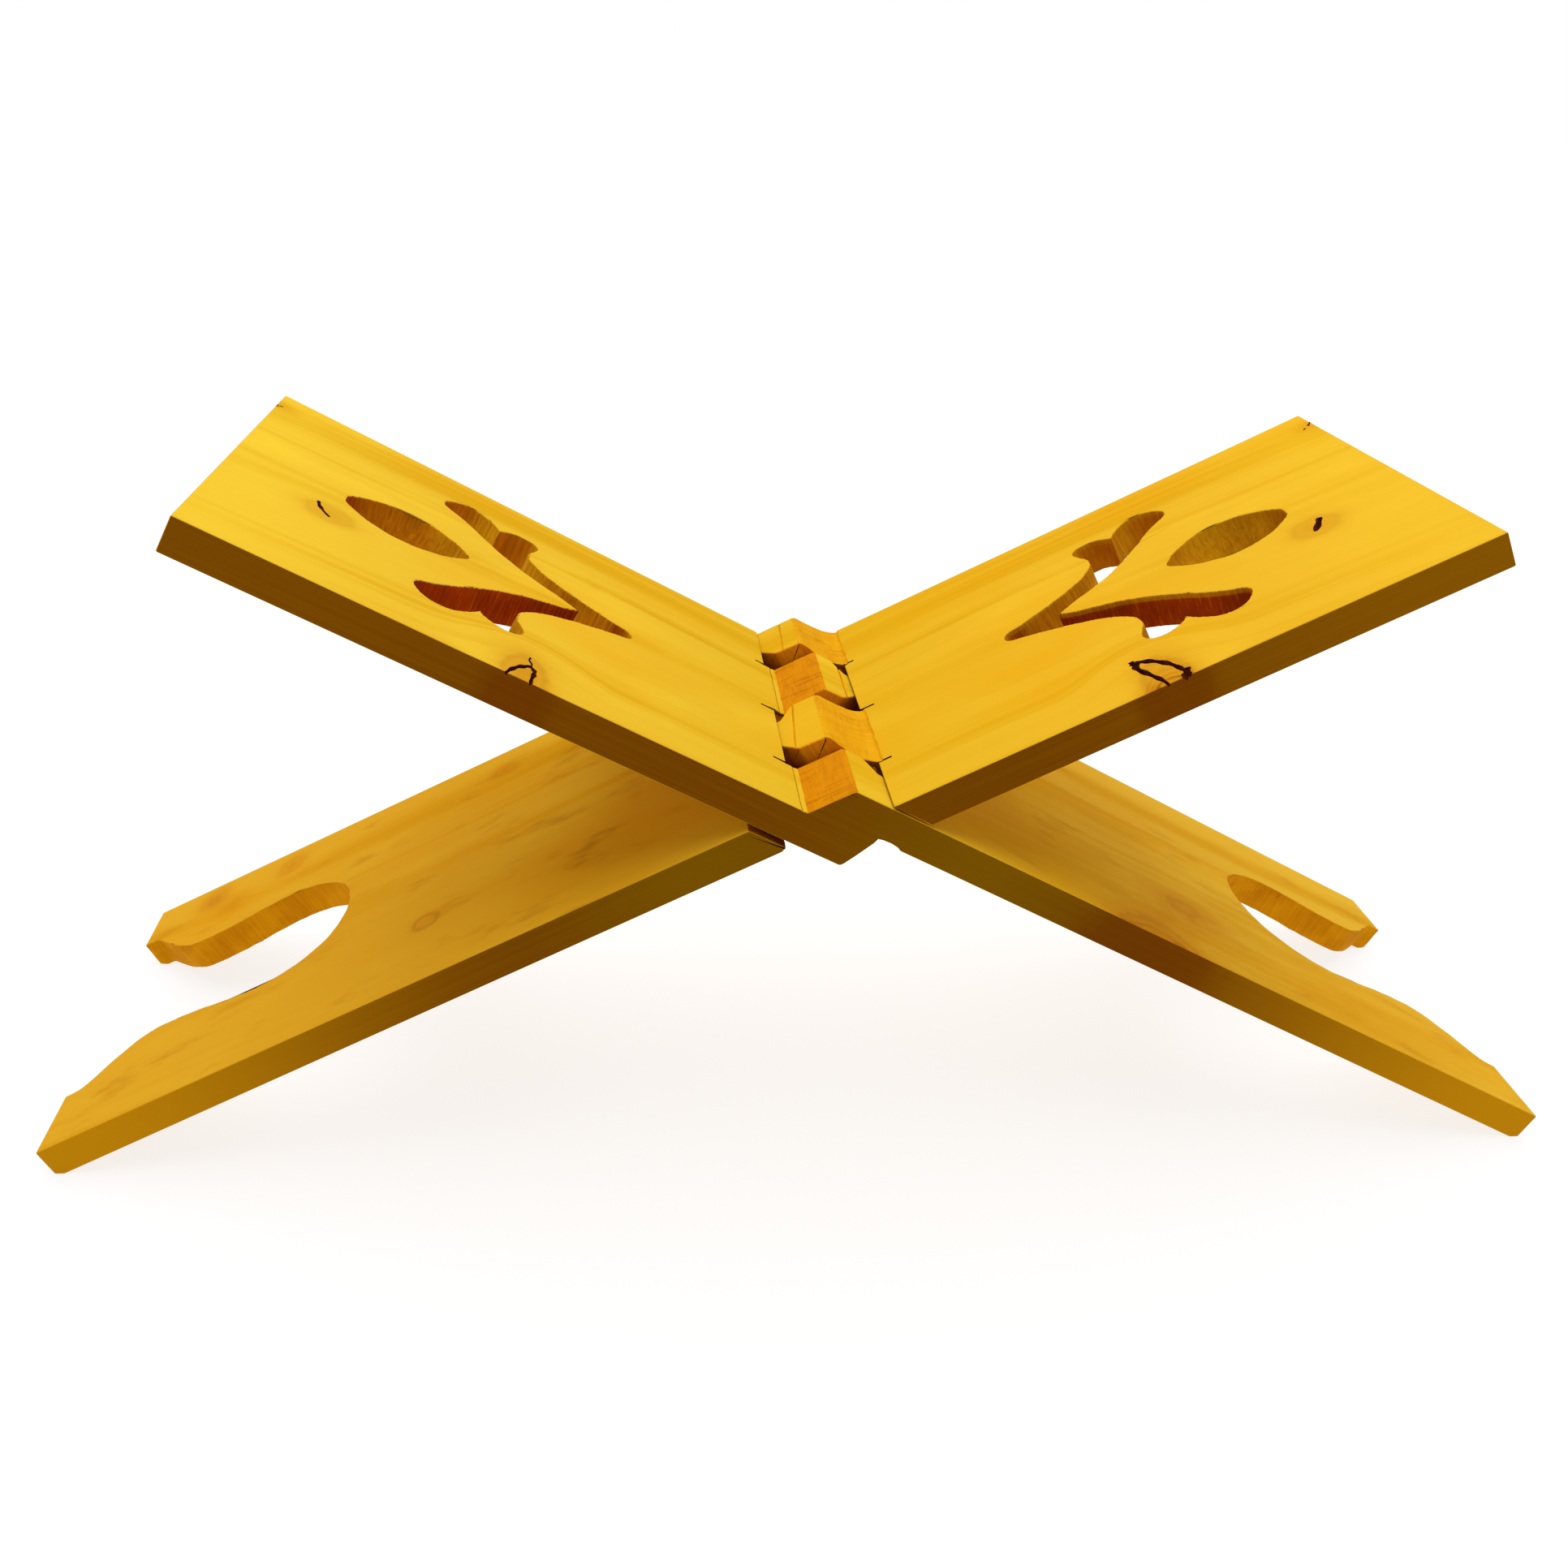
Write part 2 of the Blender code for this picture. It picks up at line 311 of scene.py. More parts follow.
class Field:
    """A value that varies over the surface, with the arithmetic that a finish is written in."""

    def __init__(self, graph, socket):
        self.graph = graph
        self.socket = socket

    def _math(self, operation, *values):
        return self.graph.node("ShaderNodeMath", {"operation": operation}, dict(enumerate(values)))

    def __add__(self, other):
        return self._math("ADD", self, other)

    def __sub__(self, other):
        return self._math("SUBTRACT", self, other)

    def __rsub__(self, other):
        return self._math("SUBTRACT", other, self)

    def __mul__(self, other):
        return self._math("MULTIPLY", self, other)

    def __truediv__(self, other):
        return self._math("DIVIDE", self, other)

    def __rtruediv__(self, other):
        return self._math("DIVIDE", other, self)

    def __neg__(self):
        return self * -1.0

    def __abs__(self):
        return self._math("ABSOLUTE", self)

    __radd__ = __add__
    __rmul__ = __mul__

    def sine(self):
        return self._math("SINE", self)

    def greater(self, edge):
        return self._math("GREATER_THAN", self, edge)

    def root(self):
        return self._math("SQRT", self)

    def most(self, other):
        return self._math("MAXIMUM", self, other)

    def bell(self, centre, width):
        """1 at the centre, falling off smoothly to 0 over about twice the width."""
        offset = (self - centre) / width
        return self._math("EXPONENT", -(offset * offset))

    def ramp(self, low, high):
        """0 at low and 1 at high, smooth between them and level beyond."""
        return self.graph.node(
            "ShaderNodeMapRange", {"interpolation_type": "SMOOTHSTEP"},
            {"Value": self, "From Min": low, "From Max": high})


class Graph:
    """The node tree of a material or a world, and the shader it ends in."""

    def __init__(self, owner, shader="Principled BSDF"):
        owner.use_nodes = True
        self.owner = owner
        self.tree = owner.node_tree
        self.shader = self.tree.nodes[shader]

    def node(self, kind, settings, inputs, output=0):
        """Adds a node: its type, its settings, and the values or links of its sockets."""
        made = self.tree.nodes.new(kind)
        for setting, value in settings.items():
            setattr(made, setting, value)
        self.feed(made, inputs)
        return Field(self, made.outputs[output])

    def feed(self, node, inputs):
        """Sets or links a node's sockets."""
        for key, value in inputs.items():
            socket = node.inputs[key]
            if isinstance(value, Field):
                self.tree.links.new(value.socket, socket)
            elif socket.type == "RGBA":
                socket.default_value = (*value[:3], 1.0)
            else:
                socket.default_value = value

    def finish(self, inputs):
        """Sets or links the closing shader's sockets, and gives back the material or the world."""
        self.feed(self.shader, inputs)
        return self.owner

    def mix(self, amount, start, end):
        """A colour between start and end."""
        return self.node("ShaderNodeMix", {"data_type": "RGBA"}, {0: amount, 6: start, 7: end}, 2)

    def vector(self, x, y, z):
        return self.node("ShaderNodeCombineXYZ", {}, {"X": x, "Y": y, "Z": z})

    def noise(self, x, y, z, detail=2.0, roughness=0.5):
        """Soft noise from 0 to 1 over the given coordinates."""
        return self.node("ShaderNodeTexNoise", {}, {
            "Vector": self.vector(x, y, z), "Scale": 1.0, "Detail": detail, "Roughness": roughness})

    def split(self, vector):
        """The three parts of a vector."""
        parts = self.node("ShaderNodeSeparateXYZ", {}, {"Vector": vector}).socket.node.outputs
        return [Field(self, part) for part in parts]

    def bump(self, height, strength, distance):
        return self.node("ShaderNodeBump", {}, {
            "Strength": strength, "Distance": distance, "Height": height})


def laid_flat(graph, socket_name, facing, centre):
    """A texture coordinate turned back into the frame of the plank lying flat."""
    inside = graph.node("ShaderNodeTexCoord", {}, {}, socket_name)
    return graph.node("ShaderNodeVectorRotate", {"rotation_type": "Y_AXIS"},
                      {"Vector": inside, "Center": centre, "Angle": -facing * SLOPE})


def plank_coordinates(graph, facing):
    """x, y and z of the whole plank in millimetres, the same for both halves of the cut."""
    flat = laid_flat(graph, "Object", facing, HINGE)
    centred = graph.node("ShaderNodeVectorMath", {"operation": "SUBTRACT"}, {0: flat, 1: HINGE})
    scale = (facing / MM, 1 / MM, facing / MM)
    plank = graph.node("ShaderNodeVectorMath", {"operation": "MULTIPLY"}, {0: centred, 1: scale})
    return graph.split(plank)


def surface_directions(graph, facing):
    """How far the surface faces along, across and through the board, from -1 to 1."""
    return graph.split(laid_flat(graph, "Normal", facing, (0, 0, 0)))


def knots_at(graph, x, y, z):
    """(halos around the knots, their rims, and how far they push the grain aside)."""
    halo, rim, pull = 0.0, 0.0, 0.0
    wobble = graph.noise(x * 0.16, y * 0.16, z * 0.16) - 0.5
    for knot_x, knot_y, half_length, half_width, side, glow, edge in KNOTS:
        along = (x - knot_x) / half_length
        across = (y - knot_y) / half_width
        distance = (along * along + across * across).root() + wobble * 0.7
        present = 1.0 if side == 0 else (z * side).greater(0.0)
        halo = halo + distance.bell(0.0, 1.6) * (present * glow)
        rim = rim + distance.bell(0.95, 0.2) * (present * edge)
        spread = along * along * 0.08 + across * across * 0.20
        pull = pull + (y - knot_y) * spread.bell(0.0, 1.0) * (present * 0.7)
    return halo, rim, pull


class Growth:
    """How the plank grew at each point of a half: its rings, fibres and knots."""

    def __init__(self, graph, facing):
        x, y, z = plank_coordinates(graph, facing)
        self.facing = facing
        self.x, self.y, self.z = x, y, z
        self.halo, self.rim, pull = knots_at(graph, x, y, z)
        sway = ((x + 145.0) / 62.0).sine() * 4.0
        drift = (graph.noise(x * 0.007, y * 0.012, z * 0.02) - 0.5) * 9.0
        self.ring = y - sway - drift - pull
        broad = graph.noise(x * 0.0022, self.ring * 0.075, z * 0.05, 3.0, 0.55)
        self.fine = graph.noise(x * 0.0050, self.ring * 0.42, z * 0.30, 3.0, 0.6)
        self.fibre = graph.noise(x * 0.035, self.ring * 2.6, z * 2.0, 2.0, 0.6)
        fine_strength = 0.60 if facing > 0 else 0.85
        dark = broad.ramp(0.42, 0.72) * 0.65
        dark = dark + (self.fine - 0.5) * fine_strength + (self.fibre - 0.5) * 0.35
        for place, half_width, strength in GROWTH_BANDS:
            dark = dark + self.ring.bell(place, half_width) * strength
        self.dark = dark


def planed_colour(graph, wood, pine):
    """The broad faces: growth bands, paler clouds, smudges towards the feet, knots, painted shade and light
    near the hinge, and a warmer right half as painted light.
    """
    x, y, z = wood.x, wood.y, wood.z
    left = wood.facing > 0
    # On the right half the honey tint is never less than 0.32: painted light, a warmer copy of the same
    # pine for the warmer light on that half.
    least_honey_with_painted_light = 0.04 if left else 0.32
    smudge_strength = 0.35 if left else 0.60
    tan_strength = 0.28 if left else 0.46

    colour = graph.mix(wood.dark.ramp(-0.1, 0.95), pine.sapwood, pine.latewood)
    cloud = graph.noise(x * 0.013, y * 0.030, z * 0.05, 3.0, 0.55)
    colour = graph.mix(cloud.ramp(0.50, 0.72) * 0.50, colour, PALE_CLOUD)
    # Paler towards the leaf's end.
    colour = graph.mix((-x).ramp(110.0, 168.0) * 0.35, colour, LEAF_END_PALE)
    glow = graph.noise(x * 0.010 + 31.0, y * 0.024, z * 0.04, 2.0)
    # Honey patches, and on the right half also painted warm light all over.
    colour = graph.mix(glow.ramp(0.46, 0.70) * 0.40 + least_honey_with_painted_light, colour, HONEY)
    # Painted shade about the hinge.
    colour = graph.mix(x.bell(-15.0, 42.0) * 0.35, colour, HINGE_PAINTED_SHADE)
    # Painted light on the left half's leg near the hinge, under the other leaf.
    if left:
        colour = graph.mix(x.ramp(12.0, 28.0) * x.ramp(95.0, 55.0) * 0.45, colour, LEG_PAINTED_LIGHT)
    smudges = graph.noise(x * 0.035 + 7.0, y * 0.09, z * 0.1, 3.0, 0.6)
    smudges = smudges.ramp(0.54, 0.74) * x.ramp(25.0, 60.0)
    colour = graph.mix(smudges * smudge_strength, colour, SMUDGE)
    colour = graph.mix(x.ramp(60.0, 120.0) * tan_strength, colour, TANNED_LEG)
    colour = graph.mix(wood.halo.ramp(0.05, 1.2) * 0.65, colour, KNOT_HALO)
    rings_in_knot = (wood.halo * 22.0).sine() * 0.5 + 0.5
    knot = wood.rim * 0.75 + wood.halo.ramp(0.75, 1.0) * rings_in_knot * 0.25
    return graph.mix(knot, colour, pine.knot)


def edge_colour_and_painted_shade(graph, wood, pine):
    """The long edges, darkened as painted shade for the sides the overhead light misses: darkest near the
    hinge, lighter towards both ends, torn at the knuckle.
    """
    x, y, z = wood.x, wood.y, wood.z
    paling_at_leaf_end = 0.15 if wood.facing > 0 else 0.45

    streaks = graph.noise(x * 0.012, y * 0.5, z * 1.1, 3.0, 0.6)
    # The edges' own colour is painted shade, streaked and darker at the knots.
    edge = graph.mix(streaks.ramp(0.3, 0.7) * 0.5 + wood.rim * 0.3, pine.edge, EDGE_STREAK)
    edge = graph.mix(x.ramp(80.0, 225.0) * 0.90, edge, FOOT_EDGE)
    edge = graph.mix(x.bell(38.0, 34.0) * 0.65, edge, HINGE_EDGE)
    # Lighter towards the leaf's end.
    edge = graph.mix((-x).ramp(40.0, 175.0) * paling_at_leaf_end, edge, EDGE_PALE_AT_LEAF_END)
    edge = graph.mix((wood.halo * 1.4).ramp(0.1, 1.0) * 0.60, edge, KNOT_EDGE)
    if wood.facing > 0:
        torn = graph.noise(x * 0.5, y, z * 2.2, 2.0).ramp(0.42, 0.60) * x.bell(-5.0, 3.2)
        edge = graph.mix(torn * z.bell(8.6, 1.2) * 0.8, edge, TORN_FIBRE)
    return edge


def end_colour(graph, wood, pine):
    """The cut ends, where the growth rings stand on edge."""
    rings = graph.noise(wood.x * 0.05, wood.ring * 0.30, wood.z * 0.9 + wood.y * 0.05, 3.0, 0.6)
    return graph.mix(rings.ramp(0.35, 0.7) * 0.6, pine.end_grain, END_RING)


def pine_face(name, facing, pine):
    """Planed and oiled pine, with its growth bands, knots and end grain, and long edges darkened as painted
    shade.
    """
    graph = Graph(bpy.data.materials.new(name))
    wood = Growth(graph, facing)
    along_facing, across_facing = [abs(part) for part in surface_directions(graph, facing)[:2]]
    colour = planed_colour(graph, wood, pine)
    # Faces turned sideways take the edge colour, painted shade.
    colour = graph.mix(across_facing.ramp(0.55, 0.85), colour, edge_colour_and_painted_shade(graph, wood, pine))
    colour = graph.mix(along_facing.ramp(0.45, 0.75), colour, end_colour(graph, wood, pine))
    height = wood.fibre * 0.35 + wood.fine * 0.45 - wood.rim * 0.4
    return graph.finish({
        "Base Color": colour, "Roughness": wood.dark * 0.10 + (pine.roughness - 0.04),
        "Specular IOR Level": OILED_SPECULAR, "Normal": graph.bump(height, 0.35, 0.0003)})


def sawn_wall(name, facing, pine):
    """Sawn walls, with the blade's strokes across the thickness: reddish frets, paler stop faces, and
    painted light and shade by which way and how deep a wall lies.
    """
    graph = Graph(bpy.data.materials.new(name))
    x, y, z = plank_coordinates(graph, facing)
    left = facing > 0
    lightest_red = 2.2 if left else 1.7
    # Strength of the painted light on walls turned towards the leaf's end, which face upwards.
    painted_light_strength = 0.85 if left else 0.65

    towards_end = surface_directions(graph, facing)[0] * -facing
    strokes = graph.noise(x * 1.15 + z * 0.08, y * 1.15 - z * 0.06, z * 0.05, 3.0, 0.65)
    patches = graph.noise(x * 0.09, y * 0.09, z * 0.12, 2.0)
    tone = strokes.ramp(0.32, 0.68) * (0.6 - x.ramp(60.0, 130.0) * 0.3)
    tone = tone + patches.ramp(0.35, 0.7) * 0.4
    red = graph.mix(tone, pine.sawn, [part * lightest_red for part in pine.sawn])
    golden = graph.mix(tone, *GOLDEN_WALL)
    brown = graph.mix(tone, *BROWN_WALL)
    # Painted light on the stop walls, with painted shade deep in the recess and on the leg's side past the
    # relief.
    stop = graph.mix(tone, *STOP_WALL)
    stop = graph.mix(abs(z).ramp(6.5, 2.5) * 0.8, stop, DEEP_STOP_PAINTED_SHADE)
    stop = graph.mix(x.ramp(9.0, 12.0) * 0.8, stop, LEG_STOP_PAINTED_SHADE)
    # Painted light: walls turned towards the leaf's end face upwards and are made golden; on the right half
    # the bud's walls and the rims by the inner face are golden too.
    golden_and_painted_light = towards_end.ramp(0.05, 0.75) * painted_light_strength
    if not left:
        in_bud = (-x).ramp(103.0, 107.0) * abs(y - FRET_CENTRE).ramp(18.0, 14.0)
        golden_and_painted_light = golden_and_painted_light.most(in_bud * 0.75)
        golden_and_painted_light = golden_and_painted_light.most(abs(z).ramp(2.4, 1.7) * 0.65)
    colour = graph.mix(y.ramp(3.0, 9.0) * 0.50, red, brown)
    colour = graph.mix(golden_and_painted_light, colour, golden)
    colour = graph.mix(strokes.ramp(0.58, 0.66) * 0.16, colour, golden)
    colour = graph.mix(x.ramp(60.0, 130.0), colour, brown)
    colour = graph.mix(abs(x).ramp(30.0, 22.0), colour, stop)
    return graph.finish({
        "Base Color": colour, "Roughness": 0.78, "Specular IOR Level": BARE_SPECULAR,
        "Normal": graph.bump(strokes, 0.6, 0.0005)})


def carved_face(name, facing):
    """Chiselled end grain over and under the knuckles, torn a little along the fibres, with painted light
    on the right half and painted shade on the left half and on sideways faces.
    """
    graph = Graph(bpy.data.materials.new(name))
    x, y, z = plank_coordinates(graph, facing)
    across_facing = abs(surface_directions(graph, facing)[1])
    rings = graph.noise(x * 0.06, y * 0.10, z * 0.75, 3.0, 0.6)
    tears = graph.noise(x * 0.6, y * 0.22, z * 1.9, 3.0, 0.65)
    pores = graph.noise(x * 3.0, y * 3.0, z * 3.0, 2.0, 0.6)
    streaks = graph.noise(x * 0.05, y * 0.75, z * 0.08, 3.0, 0.6)
    tone = rings.ramp(0.35, 0.72) * 0.35 + tears.ramp(0.52, 0.80) * 0.40 + (pores - 0.5) * 0.30
    tone = tone + streaks.ramp(0.52, 0.66) * 0.45
    # Painted shade on the left half's carved faces, painted light on the right half's.
    colour = graph.mix(tone, *(LEFT_CARVED if facing > 0 else RIGHT_CARVED))
    # Painted shade on carved faces turned sideways.
    colour = graph.mix(across_facing.ramp(0.5, 0.8), colour, CARVED_SIDE_PAINTED_SHADE)
    return graph.finish({
        "Base Color": colour, "Roughness": 0.72, "Specular IOR Level": BARE_SPECULAR,
        "Normal": graph.bump(tears * 0.7 + pores * 0.3, 0.5, 0.0006)})


def kerf_dark(name, facing, pine):
    """The unlit bottom of saw kerfs, broken corners and drying checks."""
    graph = Graph(bpy.data.materials.new(name))
    x, y, z = plank_coordinates(graph, facing)
    dust = graph.noise(x * 1.4, y * 1.4, z * 1.4, 3.0, 0.6)
    colour = graph.mix(dust.ramp(0.4, 0.75), pine.kerf, [part * 1.8 for part in pine.kerf])
    return graph.finish({
        "Base Color": colour, "Roughness": 0.9, "Specular IOR Level": BARE_SPECULAR,
        "Normal": graph.bump(dust, 0.4, 0.0003)})


def uneven(*phases):
    """A repeatable hand-made unevenness between about -1 and 1."""
    total = sum(math.sin(p * (1.0 + 0.61 * i) + 1.7 * i) for i, p in enumerate(phases))
    return total / len(phases)


def smooth_run(points, steps=9):
    """A Catmull-Rom curve through the points."""
    run = []
    last = len(points) - 1
    for i in range(last):
        before, start, end = points[max(i - 1, 0)], points[i], points[i + 1]
        after = points[min(i + 2, last)]
        for step in range(steps):
            t = step / steps
            run.append(tuple(
                0.5 * (2 * b + (c - a) * t + (2 * a - 5 * b + 4 * c - d) * t * t
                       + (3 * b - a - 3 * c + d) * t ** 3)
                for a, b, c, d in zip(before, start, end, after)))
    run.append(points[last])
    return run


def mirrored_outline(half_outline):
    """The whole outline, with the points that lie on the centre line taken once."""
    far_side = [(x, FRET_CENTRE + y) for x, y in half_outline]
    near_side = [(x, FRET_CENTRE - y) for x, y in reversed(half_outline) if y > 0.05]
    return far_side + near_side


def loft(name, rings, material_index, materials):
    """A closed solid through rings with equally many points, given in millimetres."""
    mesh = bpy.data.meshes.new(name)
    build = bmesh.new()
    layers = [[build.verts.new([c * MM for c in point]) for point in ring] for ring in rings]
    for low, high in zip(layers, layers[1:]):
        for i in range(len(low)):
            j = (i + 1) % len(low)
            build.faces.new((low[i], low[j], high[j], high[i]))
    build.faces.new(layers[0][::-1])
    build.faces.new(layers[-1])
    for face in build.faces:
        face.material_index = material_index
    bmesh.ops.recalc_face_normals(build, faces=build.faces)
    bmesh.ops.triangulate(build, faces=build.faces)
    build.to_mesh(mesh)
    build.free()
    for material in materials:
        mesh.materials.append(material)
    made = bpy.data.objects.new(name, mesh)
    bpy.context.scene.collection.objects.link(made)
    return made


class Half:
    """One half of the plank while it is being cut. facing is 1 with the leaf on the left, else -1."""

    def __init__(self, name, facing, materials, carving):
        self.name = name
        self.facing = facing
        self.materials = materials
        self.carving = carving
        self.step = LEFT_STEP if facing > 0 else RIGHT_STEP
        self.carved_from = LEFT_CARVED_FROM if facing > 0 else RIGHT_CARVED_FROM
        self.cutters = []
        self.body = loft(name, self.stations(), WOOD, materials)
        self.mark_carved_faces()

    def zones(self):
        """(number, low, high, owned) across the plank; the outer ones run past its edges."""
        edge = PLANK_WIDTH / 2 + PAST_EDGE
        lines = (-edge, *ZONE_LINES, edge)
        for zone in range(len(lines) - 1):
            yield zone, lines[zone], lines[zone + 1], (zone % 2 == 0) == (self.facing > 0)

    def owns(self, y):
        """Whether y is in one of this half's own zones."""
        return any(owned and low < y < high for _, low, high, owned in self.zones())

    def side_view(self):
        """The outline of leaf, step and leg, as (x, z, how rough)."""
        flat_x = LEG_LENGTH - FOOT_FLAT * math.cos(SLOPE)
        flat_z = HALF_KERF + FOOT_FLAT * math.sin(SLOPE)
        foot = ((LEG_LENGTH, HALF_THICKNESS, 0), (LEG_LENGTH, flat_z, 0), (flat_x, HALF_KERF, 0))
        corners = ((-LEAF_LENGTH, -HALF_KERF, 0), *self.step, *foot, *UNDER_STEP,
                   (-LEAF_LENGTH, -HALF_THICKNESS, 0))
        outline = list(corners[:1])
        for before, corner in zip(corners, corners[1:]):
            parts = max(1, round(abs(corner[0] - before[0]) / STATION_SPACING))
            outline += [tuple(a + (b - a) * part / parts for a, b in zip(before, corner))
                        for part in range(1, parts + 1)]
        return outline

    def stations(self):
        """The side view repeated across the plank, a little uneven where it is carved."""
        marks = self.carving.chisel_marks / MM
        outline = self.side_view()
        rings = []
        for station in range(STATIONS_ACROSS):
            y = -PLANK_WIDTH / 2 + PLANK_WIDTH * station / (STATIONS_ACROSS - 1)
            own = self.owns(y)
            ring = []
            for i, (x, z, rough) in enumerate(outline):
                if x < PLAIN_LEAF and not own:
                    rough = 0.0
                    z = max(z, -HALF_KERF) if z > -HALF_THICKNESS else z
                shift = marks * rough * uneven(y * 0.7 + 0.25 * i, y * 1.9 + 0.4 * i, y * 4.3)
                lift = 0.0 if abs(z) in (HALF_KERF, HALF_THICKNESS) else -CHISEL_SLANT * shift
                ring.append((self.facing * (x + shift), y, z + math.copysign(lift, z)))
            rings.append(ring)
        return rings

    def mark_carved_faces(self):
        """Gives the chiselled faces over and under this half's own knuckles their finish."""
        over = (self.carved_from, self.step[-1][0])
        under = (UNDER_STEP[-1][0], UNDER_STEP[0][0])
        for face in self.body.data.polygons:
            x, y, z = (part / MM for part in face.center)
            is_over = over[0] < self.facing * x < over[1] and z > OVER_LEAF
            is_under = under[0] < self.facing * x < under[1] and z < UNDER_LEG
            is_side = abs(face.normal.y) > 0.8
            if (is_over or is_under) and not is_side and self.owns(y):
                face.material_index = CARVED

    def flip(self, outline):
        """The outline with x turned round where the leaf is on the right."""
        return [(self.facing * x, y) for x, y in outline]

    def cut_across(self, label, profile, low, high, finish):
        """Adds a cutter with a side view in (x, z), from low to high across the board."""
        rings = [[(u, y, v) for u, v in self.flip(profile)] for y in (low, high)]
        self.cutters.append(loft(f"{self.name}_{label}", rings, finish, self.materials))

    def cut_through(self, label, levels, finish):
        """Adds a cutter with levels of (z, outline) from the lowest to the highest."""
        rings = [[(u, v, z) for u, v in self.flip(outline)] for z, outline in levels]
        self.cutters.append(loft(f"{self.name}_{label}", rings, finish, self.materials))

    def clear_other_zones(self):
        """Cuts away the other half's zones, down to this half's two slanted stop faces."""
        fold = 2 * SLOPE
        reach = HALF_THICKNESS + 2 * OVERRUN
        margin = SIDE_CLEARANCE / 2

        def end_line(z, gap):
            return (HALF_THICKNESS + gap + z * math.cos(fold)) / math.sin(fold)

        outline = [(-end_line(-z, STOP_GAP), z) for z in (-reach, reach)]
        outline += [(end_line(z, LEG_END_GAP), z) for z in (reach, -reach)]
        for zone, low, high, owned in self.zones():
            if not owned:
                self.cut_across(f"clearance_{zone}", outline, low - margin, high + margin, SAWN)

    def relieve_knuckles(self):
        """The slanted relief carved down beside each knuckle that has a neighbour in front."""
        for zone, low, _, owned in self.zones():
            if owned and zone > 0:
                for side in (1, -1):
                    plan = [(side * x, low + y) for x, y in RELIEF_PLAN]
                    depths = sorted((side * RELIEF_FLOOR, side * (HALF_THICKNESS + OVERRUN)))
                    self.cut_through(f"relief_{zone}_{side}", [(z, plan) for z in depths], SAWN)

    def chip_corners(self):
        """The far corner of a knuckle with a neighbour behind it broke away at the saw cut."""
        for zone, _, high, owned in self.zones():
            if owned and zone < len(ZONE_LINES):
                plan = [(x, high + y) for x, y in CHIP_PLAN]
                depths = (RELIEF_FLOOR, HALF_THICKNESS + OVERRUN)
                self.cut_through(f"chip_{zone}", [(z, plan) for z in depths], KERF)

    def saw_overcuts(self):
        """The saw ran past each zone line into the leaf's face."""
        root_x, root_z = OVERCUT_ROOT
        half_width = OVERCUT_WIDTH / 2
        for number, line in enumerate(ZONE_LINES):
            length = OVERCUT_LENGTH + 0.7 * uneven(number * 2.4)
            profile = [(-length, OVERRUN), (-length, -HALF_KERF - OVERCUT_TIP_DEPTH),
                       (root_x, root_z), (root_x, OVERRUN)]
            self.cut_across(f"overcut_{number}", profile, line - half_width, line + half_width, KERF)

    def scribe_lines(self):
        """The carpenter's marking lines across the knuckles this half owns."""
        depth = self.carving.scribe_depth / MM
        top = HALF_THICKNESS + 0.1
        steep, slack = SCRIBE_WIDTHS
        for zone, low, high, owned in self.zones():
            if owned and zone in SCRIBES:
                rings = []
                for y, x in zip((low, high), SCRIBES[zone]):
                    rings.append([(self.facing * (x - steep), y, top),
                                  (self.facing * x, y, HALF_THICKNESS - depth),
                                  (self.facing * (x + slack), y, top)])
                name = f"{self.name}_scribe_{zone}"
                self.cutters.append(loft(name, rings, CARVED, self.materials))

    def fretwork(self):
        """Bud and calyx through the leaf and the arch through the leg, sawn by hand."""
        wander = self.carving.saw_wander / MM
        calyx = smooth_run(CALYX_OUTER)[:-1] + smooth_run(CALYX_TIP)[:-1] + smooth_run(CALYX_INNER)
        cuts = (("bud", smooth_run(BUD), -1), ("calyx", calyx, -1), ("arch", smooth_run(ARCH), 1))
        for label, half_outline, side in cuts:
            outline = mirrored_outline(half_outline)
            levels = []
            for depth in sorted(side * level for level in FRET_LEVELS):
                lean = min(0.0, FRET_LEAN[label] * (depth - FRET_PLUMB))
                shaken = [(x + wander * uneven(y * 1.1, y * 2.7 + depth * 0.4),
                           y + lean + wander * uneven(x * 0.9, x * 2.9 - depth * 0.5))
                          for x, y in outline]
                levels.append((depth, shaken))
            self.cut_through(label, levels, SAWN)

    def drying_checks(self, checks):
        """Open cracks in the leaf's inner face, widest and deepest in the middle."""
        surface = -HALF_KERF + 0.15
        for number, (width, depth, points) in enumerate(checks):
            run = smooth_run(points, 4)
            rings = []
            for i, (x, y) in enumerate(run):
                before, after = run[max(i - 1, 0)], run[min(i + 1, len(run) - 1)]
                along = Vector((after[0] - before[0], after[1] - before[1])).normalized()
                # How near the middle of the crack this point is, from about 0 to 1.
                share = math.sin(math.pi * (i + 0.35) / (len(run) - 0.3))
                half = 0.5 * width * (0.55 + 0.45 * share) * (1.0 + 0.25 * uneven(i * 1.3))
                side = Vector((-along.y, along.x)) * half
                rings.append([(self.facing * (x + side.x), y + side.y, surface),
                              (self.facing * (x - side.x), y - side.y, surface),
                              (self.facing * x, y, -HALF_KERF - depth * (0.5 + 0.5 * share))])
            self.cutters.append(loft(f"{self.name}_check_{number}", rings, KERF, self.materials))

    def settle_modifiers(self):
        """Works the body's modifiers into its mesh."""
        bpy.context.view_layer.update()
        evaluated = self.body.evaluated_get(bpy.context.evaluated_depsgraph_get())
        mesh = bpy.data.meshes.new_from_object(evaluated)
        self.body.modifiers.clear()
        self.body.data = mesh

